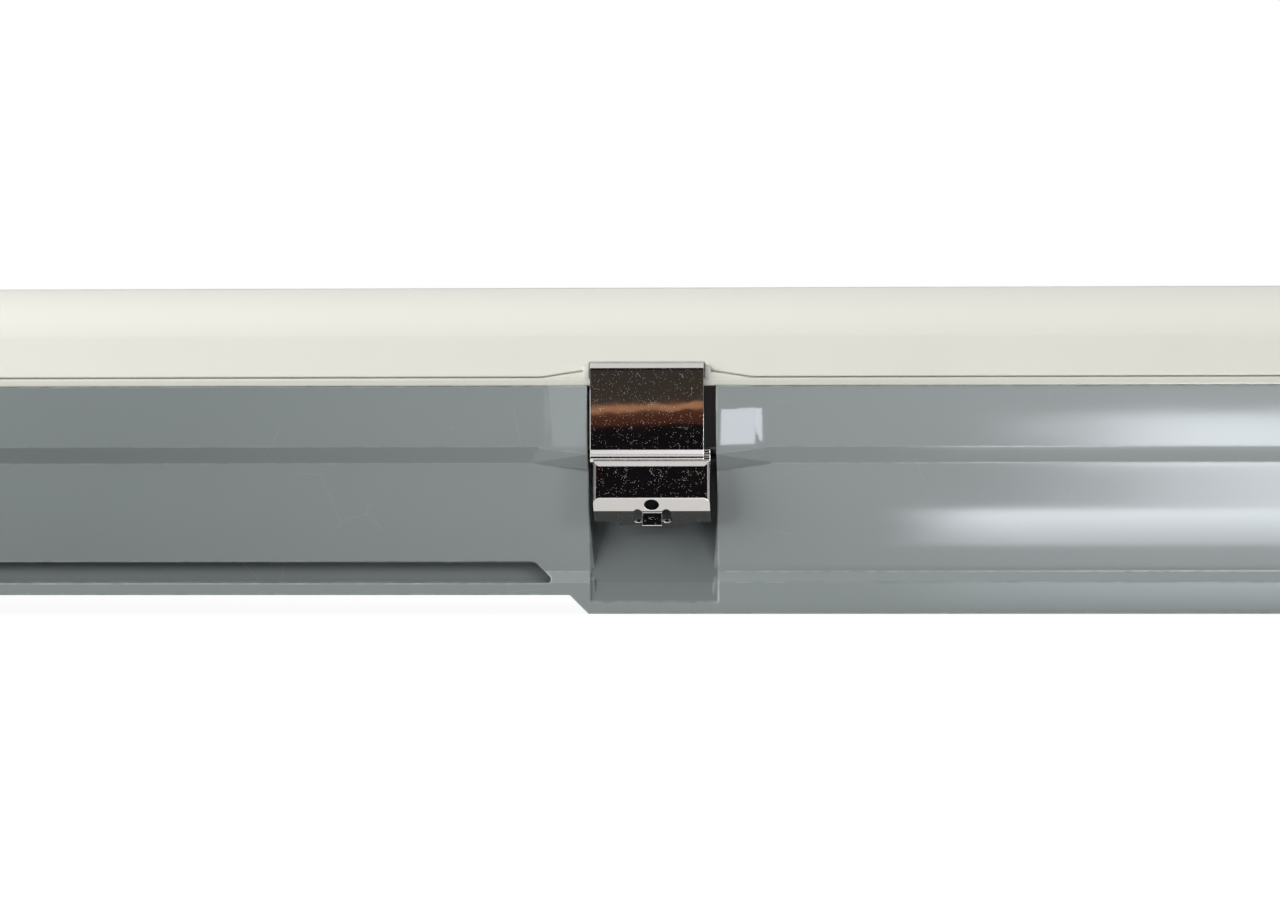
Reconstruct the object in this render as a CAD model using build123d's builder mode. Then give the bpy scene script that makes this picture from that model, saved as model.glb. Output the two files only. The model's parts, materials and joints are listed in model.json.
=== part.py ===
from build123d import *
import math
import os

os.makedirs("parts", exist_ok=True)

# Vapor tight light fixture lying on its back: X along the length, Z towards the diffuser,
# the mounting plane at z = 0. Lengths in mm, angles in degrees. In the cross-sections u is the
# distance outward from the middle of the fixture and z the height above the mounting plane.

# Overall sizes
body_length = 1200.0
rim_half = 60.0
brim_half = 60.8
corner_radius = 34.0
wall = 2.5
rim_z = 60.5

# Housing cross-section
plinth_half = 49.3
plinth_top_z = 8.4
flare_half = 48.4
flare_z = 11.2
step_low_half = 55.4
step_low_z = 40.0
step_high_half = 58.2
step_high_z = 44.4
band_bulge = 0.55
rim_bulge = 0.15
recess_depth = 5.0
spine_half = 31.0

# Gasket channel in the rim
channel_in = 50.6
channel_out = 54.2
channel_floor_z = 55.5
channel_wall = 1.8
shelf_z = 53.6
gasket_top_z = 59.5

# Places along the length
latch_pitch = 320.0
latch_xs = [-0.5 * latch_pitch, 0.5 * latch_pitch, -1.5 * latch_pitch, 1.5 * latch_pitch]
latch_places = [(x, -1) for x in latch_xs] + [(x, 1) for x in latch_xs]
recess_start = 0.5 * latch_pitch + 17.5
recess_end = 1.5 * latch_pitch - 17.5
groove_start = 0.5 * latch_pitch + 27.5
groove_end = 1.5 * latch_pitch - 27.5

# Bracket groove
groove_low_z = 8.2
groove_high_z = 13.8
groove_floor_half = 45.0
groove_slant = 4.2
groove_big_radius = 2.5
groove_small_radius = 0.8

# Latch pocket
pocket_half = 17.0
pocket_wall_half = 56.3
pocket_ledge_z = 43.8
pocket_deep_half = 46.5
pocket_ramp_z = 26.0
pocket_low_z = 2.8
pocket_low_half = 50.4
cheek_width = 1.5
cheek_top_z = 30.0
facet_reach = 28.5
facet_out = 1.5
facet_drop = 1.9

# Latch
pivot_u = 54.2
pivot_z = 41.1
pivot_radius = 1.1
pivot_clearance = 0.05
pivot_bite = 1.5
knuckle_u = 60.95
knuckle_z = 41.4
sheet = 0.8
roll_radius = 1.35
roll_clearance = 0.1
lever_half = 15.4
lever_corner = 1.6
lever_span = 22.0
lever_face_u = 63.6
lever_top_u = 62.95
lever_top_z = 40.7
lever_shoulder_z = 39.2
lever_bend_z = 30.7
lever_band_u = 60.3
lever_band_z = 27.4
lever_lip_u = 53.4
lever_lip_z = 23.5
lever_lip_half = 8.9
lever_lip_cut = 1.8
lever_hole_radius = 2.0
tongue_half = 2.6
tongue_u = 59.6
tongue_slot = 2.4
catch_u = 54.6
catch_half = 2.5
curl_start = 105.0
curl_end = 340.0
neck_angle = 66.0
plate_width = 30.0
plate_shift = 1.2
plate_in_u = 61.5
hook_top_z = 66.6
hook_tip_u = 58.0
hook_slope = 26.0
hook_bend = 2.0

# Diffuser
flange_half = 61.0
flange_top_z = 62.6
diffuser_top_z = 86.8
foot_in = 0.9
line_depth = 0.9
line_gap = 0.4
crown_radius = 16.0
diffuser_draft = 10.0
diffuser_wall = 2.0

# Gear tray and electrical parts
tray_z = 50.0
tray_half = 42.0
tray_length = 1130.0
tray_sheet = 0.8
tray_flange = 7.0
post_x = 500.0
post_y = 31.0
post_radius = 4.5
button_radius = 2.0
button_clearance = 0.25
board_count = 4
board_length = 272.0
board_gap = 4.0
board_width = 30.0
board_thickness = 1.6
chips_per_board = 16
driver_length = 300.0
driver_width = 40.0
driver_height = 26.0
terminal_x = 430.0
wire_radius = 1.0

# Cable entry and blank
entry_z = 27.0
entry_radius = 10.0
entry_clearance = 0.25
boss_radius = 17.0
boss_face = 596.0 - 600.0 + 0.5 * body_length
boss_back = boss_face - 10.0

# Mounting brackets
bracket_x = 380.0
bracket_width = 25.0
bracket_sheet = 1.2
bracket_arm_u = 50.6
bracket_gap = 0.3
bracket_hole = 2.75

end_offset = 0.5 * body_length - rim_half


def section_plane(x, side):
    """Plane across the fixture at x whose local axes are u (outward on the given side) and z."""
    return Plane(origin=(x, 0, 0), x_dir=(0, side, 0), z_dir=(side, 0, 0))


def plan_path():
    """Rounded rectangle that the wall sections follow round the fixture."""
    with BuildSketch(mode=Mode.PRIVATE) as plan:
        RectangleRounded(body_length, 2 * rim_half, corner_radius)
    return plan.sketch.wire()


def plan_shape(half):
    """Rounded rectangle through the points at distance u = half on the plan."""
    radius = max(corner_radius - rim_half + half, 1.0)
    RectangleRounded(2 * (half + end_offset), 2 * half, radius)


def bulged(start, end, bulge):
    """Shallow arc from start to end, standing out to the right of its chord by the bulge."""
    du = end[0] - start[0]
    dz = end[1] - start[1]
    span = math.hypot(du, dz)
    middle = (0.5 * (start[0] + end[0]) + bulge * dz / span, 0.5 * (start[1] + end[1]) - bulge * du / span)
    ThreePointArc(start, middle, end)


def outer_points(out, drop):
    """Corners of the housing's outer face, moved out and down where the wall meets a latch pocket."""
    return [
        (plinth_half, 0.0),
        (plinth_half + 0.3, plinth_top_z),
        (flare_half, flare_z),
        (step_low_half + 0.15 * out, step_low_z - drop),
        (step_high_half + out, step_high_z - drop),
        (brim_half + out, rim_z),
    ]


def strip(points, thickness):
    """Outline of a bent sheet whose outer face follows the points, the sheet lying to their right."""
    normals = []
    for start, end in zip(points, points[1:]):
        span = math.hypot(end[0] - start[0], end[1] - start[1])
        normals.append(((end[1] - start[1]) / span, (start[0] - end[0]) / span))
    back = []
    for index, (u, z) in enumerate(points):
        before = normals[max(index - 1, 0)]
        after = normals[min(index, len(normals) - 1)]
        scale = thickness / (1.0 + before[0] * after[0] + before[1] * after[1])
        back.append((u + scale * (before[0] + after[0]), z + scale * (before[1] + after[1])))
    return list(points) + back[::-1]


def polar(u, z, radius, angle):
    return (u + radius * math.cos(math.radians(angle)), z + radius * math.sin(math.radians(angle)))


def save(shape, label):
    shape.label = label
    export_step(shape, f"parts/{label}.step")


# Housing
facet_inset = 0.6
facet_lead = 4.5
block_half = pocket_half + wall
block_in = pocket_deep_half - wall
outer = outer_points(0.0, 0.0)


def flat_sided(first, second):
    """Flat-sided solid between two rings of corners, its side faces cut into triangles."""
    faces = [Face(Wire.make_polygon(first)), Face(Wire.make_polygon(second))]
    for index in range(len(first)):
        after = (index + 1) % len(first)
        faces.append(Face(Wire.make_polygon([first[index], first[after], second[after]])))
        faces.append(Face(Wire.make_polygon([first[index], second[after], second[index]])))
    return Solid(Shell(faces)).fix()


def facet_ring(x, side, out, drop):
    """Corners of the thickened wall skin at a place beside a latch pocket."""
    skin = outer_points(out, drop)[3:]
    core = [(u - 1.3, z) for u, z in outer_points(0.0, 0.0)[3:]]
    return [Vector(x, side * u, z) for u, z in skin + core[::-1]]


def facet_solid(x, side, hand):
    """Wedge that leads the housing wall out to the edge of a latch pocket."""
    far = facet_ring(x + hand * (facet_reach + facet_lead), side, -facet_inset, 0.0)
    near = facet_ring(x + hand * (pocket_half - 0.1), side, facet_out, facet_drop)
    return flat_sided(far, near)


def cheek_ring(x, side, hand, top_in, low_in):
    """Corners of a pocket's side cheek, standing into the pocket more at its foot than at its top."""
    low_z = pocket_low_z - 0.4
    skin = [(u - 0.5, z) for u, z in outer_points(facet_out, facet_drop)[1:4]]
    share = (cheek_top_z - skin[1][1]) / (skin[2][1] - skin[1][1])
    top_u = skin[1][0] + share * (skin[2][0] - skin[1][0])
    back = pocket_deep_half - 0.6
    corners = [
        (back, low_z),
        (skin[0][0] - 0.2, low_z),
        skin[0],
        skin[1],
        (top_u, cheek_top_z),
        (back, cheek_top_z),
    ]
    ring = []
    for u, z in corners:
        reach = top_in + (low_in - top_in) * (cheek_top_z - z) / (cheek_top_z - low_z)
        ring.append(Vector(x + hand * (pocket_half - reach), side * u, z))
    return ring


with BuildPart() as housing:
    # Wall with the gasket channel in its rim, and the floor
    with BuildSketch(section_plane(0, -1)):
        with BuildLine():
            Polyline((spine_half - 2.0, 0.0), outer[0], outer[1], outer[2])
            bulged(outer[2], outer[3], band_bulge)
            Line(outer[3], outer[4])
            bulged(outer[4], outer[5], rim_bulge)
            Polyline(
                outer[5],
                (channel_out, rim_z),
                (channel_out, channel_floor_z),
                (channel_in, channel_floor_z),
                (channel_in, rim_z),
                (channel_in - channel_wall, rim_z),
                (channel_in - channel_wall, shelf_z),
                (rim_half - wall - 0.9, shelf_z - 2.6),
                (step_high_half - wall, step_high_z + 0.9),
                (step_low_half - wall, step_low_z + 0.8),
                (flare_half - wall, flare_z),
                (plinth_half - wall, wall),
                (spine_half - 2.0, wall),
                (spine_half - 2.0, 0.0),
            )
        make_face()
    sweep(path=plan_path())
    with BuildSketch():
        plan_shape(spine_half)
    extrude(amount=wall)
    # Raised floor over the bracket recesses, and the thick wall behind the bracket grooves
    for end in (-1, 1):
        with BuildSketch(Plane.XZ.offset(-(plinth_half - 2.0))):
            Polygon(
                (end * (recess_start - 3.0), wall - 1.0),
                (end * (recess_start + 2.0), recess_depth + wall),
                (end * (recess_end - 2.0), recess_depth + wall),
                (end * (recess_end + 3.0), wall - 1.0),
                align=None,
            )
        extrude(amount=2 * (plinth_half - 2.0))
        for side in (-1, 1):
            middle = end * 0.5 * (groove_start + groove_end)
            with BuildSketch(section_plane(middle, side)):
                Polygon(
                    (groove_floor_half - wall, wall),
                    (flare_half - 1.0, wall),
                    (flare_half - 1.0, groove_high_z + wall),
                    (groove_floor_half - wall, groove_high_z + wall),
                    align=None,
                )
            extrude(amount=0.5 * (groove_end - groove_start) + wall, both=True)
    # Pocket boxes and the facets leading to them
    for x, side in latch_places:
        with BuildSketch(section_plane(x, side)):
            Polygon(
                (block_in, 1.0),
                (plinth_half - 1.0, 1.0),
                (flare_half - 1.0, flare_z),
                (step_low_half - 1.5, step_low_z),
                (step_high_half - 1.2, step_high_z + 1.2),
                (rim_half - 2.0, channel_floor_z - 1.0),
                (channel_in - 1.0, channel_floor_z - 1.0),
                (channel_in - 1.0, pocket_ledge_z + wall),
                (block_in, pocket_ledge_z + wall),
                align=None,
            )
        extrude(amount=block_half, both=True)
        for hand in (-1, 1):
            add(facet_solid(x, side, hand))
    # Posts that carry the gear tray
    with BuildSketch(Plane.XY.offset(1.0)):
        with GridLocations(2 * post_x, 2 * post_y, 2, 2):
            Circle(post_radius)
    extrude(amount=tray_z - 1.0)
    # End bosses for the cable entry and the blank
    for end in (-1, 1):
        with BuildSketch(Plane.YZ.offset(end * boss_back)):
            with Locations((0, entry_z)):
                Circle(boss_radius)
        extrude(amount=end * (boss_face - boss_back))
        with BuildSketch(Plane.YZ.offset(end * (boss_back - 5.0))):
            with Locations((0, entry_z)):
                Circle(entry_radius + entry_clearance)
        extrude(amount=end * 40.0, mode=Mode.SUBTRACT)
    # Recesses in the back and the grooves that the brackets hook into
    for end in (-1, 1):
        with BuildSketch(Plane.XZ.offset(-(rim_half + 5.0))):
            Polygon(
                (end * (recess_start - 2.0), -2.0),
                (end * (recess_start + recess_depth), recess_depth),
                (end * (recess_end - recess_depth), recess_depth),
                (end * (recess_end + 2.0), -2.0),
                align=None,
            )
        extrude(amount=2 * (rim_half + 5.0), mode=Mode.SUBTRACT)
        for side in (-1, 1):
            groove_middle = (end * 0.5 * (groove_start + groove_end), 0.5 * (groove_low_z + groove_high_z))
            slant_top_z = groove_high_z - groove_slant + 0.1
            with BuildSketch(Plane.XZ.offset(-side * groove_floor_half)) as slot:
                with Locations(groove_middle):
                    Rectangle(groove_end - groove_start, groove_high_z - groove_low_z)
                chamfer(slot.vertices().group_by(Axis.Y)[-1], groove_slant)
                fillet(slot.vertices().group_by(Axis.Y)[-1], groove_big_radius)
                low_corners = slot.vertices().filter_by_position(Axis.Y, groove_low_z - 0.1, slant_top_z)
                fillet(low_corners, groove_small_radius)
            extrude(amount=-side * 20.0, mode=Mode.SUBTRACT)
    # Latch pockets with the blind holes for the pivot pins
    for x, side in latch_places:
        with BuildSketch(section_plane(x, side)):
            Polygon(
                (pocket_wall_half, rim_z + 5.0),
                (pocket_wall_half, pocket_ledge_z),
                (pocket_deep_half, pocket_ledge_z),
                (pocket_deep_half, pocket_ramp_z),
                (pocket_low_half - 1.2, pocket_low_z + 0.4),
                (pocket_low_half, pocket_low_z),
                (rim_half + 20.0, pocket_low_z),
                (rim_half + 20.0, rim_z + 5.0),
                align=None,
            )
        extrude(amount=pocket_half, both=True, mode=Mode.SUBTRACT)
        with BuildSketch(section_plane(x, side)):
            with Locations((pivot_u, pivot_z)):
                Circle(pivot_radius)
        extrude(amount=pocket_half + pivot_bite, both=True, mode=Mode.SUBTRACT)
        with BuildSketch(section_plane(x, side)):
            Polygon(
                (pocket_deep_half - 1.0, pocket_ramp_z),
                (catch_u - 1.0, pocket_ramp_z),
                (catch_u, pocket_ramp_z + 0.9),
                (catch_u, pocket_ramp_z + 2.2),
                (pocket_deep_half - 1.0, pocket_ramp_z + 5.0),
                align=None,
            )
        extrude(amount=catch_half, both=True)
        for hand in (-1, 1):
            root_ring = cheek_ring(x, side, hand, -0.5, -0.5)
            face_ring = cheek_ring(x, side, hand, -0.1, cheek_width)
            add(flat_sided(root_ring, face_ring))
    # Pilot holes in the posts for the tray buttons
    with BuildSketch(Plane.XY.offset(tray_z)):
        with GridLocations(2 * post_x, 2 * post_y, 2, 2):
            Circle(button_radius + button_clearance)
    extrude(amount=-14.0, mode=Mode.SUBTRACT)
save(housing.part, "housing")

# Gasket, squeezed into the channel by the diffuser's tongue
with BuildPart() as gasket:
    with BuildSketch(section_plane(0, -1)):
        Polygon(
            (channel_in, channel_floor_z),
            (channel_out, channel_floor_z),
            (channel_out, gasket_top_z),
            (channel_in, gasket_top_z),
            align=None,
        )
    sweep(path=plan_path())
save(gasket.part, "gasket")

# Diffuser: a rounded wall section carried round the plan, a flat crown, and the notches for the hooks
crown_z = diffuser_top_z - crown_radius
draft_cos = math.cos(math.radians(diffuser_draft))
draft_sin = math.sin(math.radians(diffuser_draft))
draft_tan = math.tan(math.radians(diffuser_draft))
half_turn = math.radians(0.5 * (90.0 + diffuser_draft))
foot_z = flange_top_z + 0.3
crown_half = (
    flange_half
    - foot_in
    - draft_tan * (crown_z + crown_radius * draft_sin - foot_z)
    - crown_radius * draft_cos
)


def crown_point(radius, angle):
    return (crown_half + radius * math.cos(angle), crown_z + radius * math.sin(angle))


inner_crown = crown_radius - diffuser_wall
inner_top_z = diffuser_top_z - diffuser_wall
outer_tangent = (crown_half + crown_radius * draft_cos, crown_z + crown_radius * draft_sin)
inner_tangent = (crown_half + inner_crown * draft_cos, crown_z + inner_crown * draft_sin)
outer_foot = (flange_half - foot_in, foot_z)
inner_foot = (inner_tangent[0] + draft_tan * (inner_tangent[1] - flange_top_z), flange_top_z)
tongue_in = channel_in + 0.9
tongue_out = channel_out - 0.9
hook_drop = math.tan(math.radians(hook_slope))
hook_corner_u = plate_in_u + sheet
hook_corner_z = hook_top_z + hook_bend * (hook_drop + 1.0 / math.cos(math.radians(hook_slope)) - 1.0)
hook_under = sheet / math.cos(math.radians(hook_slope))
ledge_gap = 0.05
notch_u = hook_tip_u - 0.5
notch_half = 0.5 * plate_width + 0.25
notch_rise = 0.6
notch_top_z = hook_corner_z - hook_drop * (hook_corner_u - notch_u) + 0.15
rib_width = 1.6
rib_top_z = hook_top_z - 1.2


def ledge_z(u):
    """Height of the ledge under the hook."""
    return hook_corner_z - hook_drop * (hook_corner_u - u) - hook_under - ledge_gap


with BuildPart() as diffuser:
    with BuildSketch(section_plane(0, -1)):
        with BuildLine():
            Polyline(
                (crown_half - 2.0, inner_top_z),
                (crown_half - 2.0, diffuser_top_z),
                (crown_half, diffuser_top_z),
            )
            ThreePointArc((crown_half, diffuser_top_z), crown_point(crown_radius, half_turn), outer_tangent)
            Polyline(
                outer_tangent,
                outer_foot,
                (outer_foot[0] - line_depth, foot_z),
                (outer_foot[0] - line_depth, foot_z - line_gap),
                (flange_half - 0.5, foot_z - line_gap),
                (flange_half, foot_z - line_gap - 0.35),
                (flange_half, rim_z),
                (tongue_out, rim_z),
                (tongue_out, gasket_top_z),
                (tongue_in, gasket_top_z),
                (tongue_in, rim_z),
                (channel_in - channel_wall - 0.8, rim_z),
                (channel_in - channel_wall - 0.8, flange_top_z),
                inner_foot,
                inner_tangent,
            )
            ThreePointArc(
                inner_tangent,
                crown_point(inner_crown, half_turn),
                (crown_half, inner_top_z),
            )
            Line((crown_half, inner_top_z), (crown_half - 2.0, inner_top_z))
        make_face()
    sweep(path=plan_path())
    with BuildSketch(Plane.XY.offset(inner_top_z)):
        plan_shape(crown_half - 1.0)
    extrude(amount=diffuser_wall)
    for x, side in latch_places:
        centre = x + side * plate_shift
        with BuildSketch(section_plane(centre, side)):
            Polygon(
                (notch_u - diffuser_wall, flange_top_z - 0.5),
                (inner_foot[0] + 0.8, flange_top_z - 0.5),
                (inner_foot[0] - 0.3, notch_top_z + 3.4),
                (notch_u - diffuser_wall, notch_top_z + 2.2),
                align=None,
            )
        extrude(amount=notch_half + diffuser_wall, both=True)
        with BuildSketch(section_plane(centre, side)):
            Polygon(
                (notch_u, ledge_z(notch_u)),
                (flange_half + 3.0, ledge_z(flange_half + 3.0)),
                (flange_half + 3.0, notch_top_z + notch_rise * (flange_half + 3.0 - notch_u)),
                (notch_u, notch_top_z),
                align=None,
            )
        extrude(amount=notch_half, both=True, mode=Mode.SUBTRACT)
        for hand in (-1, 1):
            with BuildSketch(section_plane(centre + hand * (notch_half + 0.5 * rib_width), side)):
                Polygon(
                    (inner_foot[0] + 0.8, flange_top_z - 0.5),
                    (flange_half - 0.1, flange_top_z - 0.5),
                    (flange_half - 0.1, rib_top_z - 1.0),
                    (flange_half - 0.9, rib_top_z),
                    (inner_foot[0] + 0.8, rib_top_z),
                    align=None,
                )
            extrude(amount=0.5 * rib_width, both=True)
            near_x = centre + hand * (notch_half + 0.5)
            far_x = centre + hand * (facet_reach - 0.5)
            with BuildSketch(Plane.XZ.offset(-side * (outer_foot[0] - 1.2))):
                Polygon(
                    (near_x, flange_top_z - 0.5),
                    (far_x, flange_top_z - 0.5),
                    (far_x, foot_z - line_gap),
                    (near_x, foot_z + 1.4),
                    align=None,
                )
            extrude(amount=-side * (flange_half - 0.2 - outer_foot[0] + 1.2))
            with BuildSketch(Plane.XZ.offset(-side * (outer_foot[0] - line_depth))):
                Polygon(
                    (near_x + hand * (rib_width - 0.5), foot_z + 1.4 - 0.1),
                    (far_x, foot_z - line_gap),
                    (far_x, foot_z),
                    (near_x + hand * (rib_width - 0.5), foot_z + 1.4 - 0.1 + line_gap),
                    align=None,
                )
            extrude(amount=-side * 2.0, mode=Mode.SUBTRACT)
save(diffuser.part, "diffuser")

# Latches: each lever swings on a pivot pin in its pocket and carries the hook plate in its curl
curl_in = roll_radius + roll_clearance
curl_out = curl_in + sheet
curl_middle = 0.5 * (curl_start + curl_end)
lever_line = [
    (lever_top_u, lever_top_z),
    (lever_face_u, lever_shoulder_z),
    (lever_face_u, lever_bend_z),
    (lever_band_u, lever_band_z),
    (lever_lip_u, lever_lip_z),
]
band_u = 0.5 * (lever_face_u + lever_band_u)
band_z = 0.5 * (lever_bend_z + lever_band_z)
band_out = (lever_bend_z - lever_band_z, lever_band_u - lever_face_u)
plate_mid_u = plate_in_u + 0.5 * sheet
neck_top_z = knuckle_z + (plate_mid_u - knuckle_u) * math.tan(math.radians(neck_angle))
neck_side_u = 0.5 * sheet * math.sin(math.radians(neck_angle))
neck_side_z = 0.5 * sheet * math.cos(math.radians(neck_angle))
hook_line = [
    (hook_tip_u, hook_corner_z - hook_drop * (hook_corner_u - hook_tip_u)),
    (hook_corner_u, hook_corner_z),
    (hook_corner_u, neck_top_z - 0.1),
    (knuckle_u + neck_side_u, knuckle_z - neck_side_z),
]

for number, (x, side) in enumerate(latch_places, 1):
    with BuildPart() as lever:
        with BuildSketch(section_plane(x, side)):
            with BuildLine():
                ThreePointArc(
                    polar(knuckle_u, knuckle_z, curl_out, curl_start),
                    polar(knuckle_u, knuckle_z, curl_out, curl_middle),
                    polar(knuckle_u, knuckle_z, curl_out, curl_end),
                )
                Line(
                    polar(knuckle_u, knuckle_z, curl_out, curl_end),
                    polar(knuckle_u, knuckle_z, curl_in, curl_end),
                )
                ThreePointArc(
                    polar(knuckle_u, knuckle_z, curl_in, curl_end),
                    polar(knuckle_u, knuckle_z, curl_in, curl_middle),
                    polar(knuckle_u, knuckle_z, curl_in, curl_start),
                )
                Line(
                    polar(knuckle_u, knuckle_z, curl_in, curl_start),
                    polar(knuckle_u, knuckle_z, curl_out, curl_start),
                )
            make_face()
            with BuildLine():
                FilletPolyline(*strip(lever_line, sheet), radius=0.3, close=True)
            make_face()
        extrude(amount=lever_half, both=True)
        # Stepped end of the lip, and the round-ended slots that free its snap tongue
        with BuildSketch(Plane.XY.offset(lever_lip_z - 1.0)):
            for hand in (-1, 1):
                Polygon(
                    (x + hand * lever_lip_half, side * (lever_lip_u - 1.0)),
                    (x + hand * (lever_half + 1.0), side * (lever_lip_u - 1.0)),
                    (x + hand * (lever_half + 1.0), side * (lever_lip_u + lever_lip_cut)),
                    (x + hand * lever_lip_half, side * (lever_lip_u + lever_lip_cut)),
                    align=None,
                )
                slot_x = x + hand * (tongue_half + 0.5 * tongue_slot)
                with Locations((slot_x, side * (lever_band_u - 2.6))):
                    SlotOverall(6.0, tongue_slot, rotation=90)
        extrude(amount=lever_band_z - lever_lip_z + 1.6, mode=Mode.SUBTRACT)
        # Snap tongue turned down between the slots
        with BuildSketch(section_plane(x, side)):
            Polygon(
                (tongue_u, lever_band_z - 0.1),
                (tongue_u, lever_lip_z),
                (tongue_u - sheet, lever_lip_z),
                (tongue_u - sheet, lever_band_z - 0.1),
                align=None,
            )
        extrude(amount=tongue_half, both=True)
        # Pull hole through the sloping band
        out = Vector(0, side * band_out[0], band_out[1])
        with BuildSketch(Plane(origin=(x, side * band_u, band_z), x_dir=(1, 0, 0), z_dir=out)):
            Circle(lever_hole_radius)
        extrude(amount=2 * sheet, both=True, mode=Mode.SUBTRACT)
        # Side ears with the pivot holes
        for hand in (-1, 1):
            with BuildSketch(section_plane(x + hand * (lever_half - 0.5 * sheet), side)):
                with Locations((pivot_u, pivot_z)):
                    Circle(2.4)
                Polygon(
                    (pivot_u, pivot_z),
                    (knuckle_u - 2.35, pivot_z - 0.2),
                    (knuckle_u - 1.55, knuckle_z - 2.0),
                    (lever_face_u - 0.4, knuckle_z - 2.4),
                    (lever_face_u - 0.4, lever_bend_z + 0.2),
                    (lever_band_u - 0.2, lever_band_z + 0.7),
                    (pivot_u - 1.6, pivot_z - 1.8),
                    align=None,
                )
                with Locations((pivot_u, pivot_z)):
                    Circle(pivot_radius + pivot_clearance, mode=Mode.SUBTRACT)
            extrude(amount=0.5 * sheet, both=True)
        # Rounded bends between the face and the ears
        with BuildSketch(Plane.XY.offset(lever_lip_z - 1.0)):
            with Locations((x, side * (lever_face_u - 0.5 * lever_span))):
                RectangleRounded(2 * lever_half, lever_span, lever_corner)
        extrude(amount=lever_span, mode=Mode.INTERSECT)
    save(lever.part, f"latch_lever_{number}")

    with BuildPart() as hook:
        with BuildSketch(section_plane(x + side * plate_shift, side)) as profile:
            Polygon(*strip(hook_line, sheet), align=None)
            bend = profile.vertices().sort_by_distance((hook_corner_u, hook_corner_z))[0]
            fillet(bend, hook_bend)
            inside = profile.vertices().sort_by_distance((plate_in_u, hook_corner_z - hook_under))[0]
            fillet(inside, hook_bend - sheet)
            with Locations((knuckle_u, knuckle_z)):
                Circle(roll_radius)
        extrude(amount=0.5 * plate_width, both=True)
    save(hook.part, f"latch_hook_{number}")

with BuildPart() as latch_pivot_pins:
    for x, side in latch_places:
        with BuildSketch(section_plane(x, side)):
            with Locations((pivot_u, pivot_z)):
                Circle(pivot_radius)
        extrude(amount=pocket_half + pivot_bite - 0.1, both=True)
save(latch_pivot_pins.part, "latch_pivot_pins")

# Mounting brackets that slide along the grooves
bracket_hook_z = groove_low_z + bracket_gap
bracket_out = bracket_arm_u + bracket_sheet
bracket_tip = groove_floor_half + 1.0
for place, name in ((-bracket_x, "bracket_left"), (bracket_x, "bracket_right")):
    with BuildPart() as bracket:
        with BuildSketch(section_plane(place, 1)):
            Polygon(
                (-bracket_out, 0.0),
                (bracket_out, 0.0),
                (bracket_out, bracket_sheet),
                (-bracket_out, bracket_sheet),
                align=None,
            )
            for hand in (-1, 1):
                Polygon(
                    (hand * bracket_arm_u, 0.0),
                    (hand * bracket_out, 0.0),
                    (hand * bracket_out, bracket_hook_z + bracket_sheet),
                    (hand * bracket_tip, bracket_hook_z + bracket_sheet),
                    (hand * bracket_tip, bracket_hook_z),
                    (hand * bracket_arm_u, bracket_hook_z),
                    align=None,
                )
        extrude(amount=0.5 * bracket_width, both=True)
        with BuildSketch(Plane.XY):
            with Locations((place, 0)):
                Circle(bracket_hole)
            with Locations((place, 24), (place, -24)):
                SlotOverall(14.0, 2 * bracket_hole, rotation=90)
        extrude(amount=bracket_sheet, mode=Mode.SUBTRACT)
    save(bracket.part, name)

# Gear tray: a shallow steel channel on the housing posts
tray_top = tray_z + tray_sheet
board_pitch = board_length + board_gap
board_xs = [(index - 0.5 * (board_count - 1)) * board_pitch for index in range(board_count)]
rivet_radius = 1.5
rivet_gap = 0.05
rivet_places = []
for board_x in board_xs:
    rivet_places.append((board_x - 0.5 * board_length + 12.0, 10.0))
    rivet_places.append((board_x + 0.5 * board_length - 12.0, -10.0))
driver_screw_x = 0.5 * driver_length + 8.0
driver_screw_radius = 1.6
earth_place = (terminal_x - 70.0, 24.0)
earth_radius = 2.0
led_wire_x = -200.0
led_wire_y = 22.0
led_wire_radius = 0.8
fit_gap = 0.05

with BuildPart() as gear_tray:
    with BuildSketch(section_plane(0, 1)):
        Polygon(
            (-tray_half, tray_top - tray_flange),
            (-tray_half, tray_top),
            (tray_half, tray_top),
            (tray_half, tray_top - tray_flange),
            (tray_half - tray_sheet, tray_top - tray_flange),
            (tray_half - tray_sheet, tray_z),
            (tray_sheet - tray_half, tray_z),
            (tray_sheet - tray_half, tray_top - tray_flange),
            align=None,
        )
    extrude(amount=0.5 * tray_length, both=True)
    with BuildSketch(Plane.XY.offset(tray_z)):
        with GridLocations(2 * post_x, 2 * post_y, 2, 2):
            Circle(button_radius + button_clearance)
        with Locations(*rivet_places):
            Circle(rivet_radius + rivet_gap)
        with Locations((-driver_screw_x, 0), (driver_screw_x, 0)):
            Circle(driver_screw_radius + fit_gap)
        with Locations(earth_place):
            Circle(earth_radius + fit_gap)
        with Locations((led_wire_x, led_wire_y), (led_wire_x, -led_wire_y)):
            Circle(3.0)
    extrude(amount=tray_sheet, mode=Mode.SUBTRACT)
save(gear_tray.part, "gear_tray")

# Quarter-turn buttons that hold the tray down on the posts
button_places = [(post_x, -post_y), (-post_x, -post_y), (post_x, post_y), (-post_x, post_y)]
for number, place in enumerate(button_places, 1):
    with BuildPart() as button:
        with BuildSketch(Plane.XY.offset(tray_z - 12.0)):
            with Locations(place):
                Circle(button_radius)
        extrude(amount=12.0 + tray_sheet)
        with BuildSketch(Plane.XY.offset(tray_top)):
            with Locations(place):
                Circle(post_radius)
        extrude(amount=1.5)
        with BuildSketch(Plane.XY.offset(tray_top + 1.5)):
            with Locations(place):
                SlotOverall(11.0, 3.0)
        extrude(amount=3.0)
    save(button.part, f"tray_button_{number}")

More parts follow.
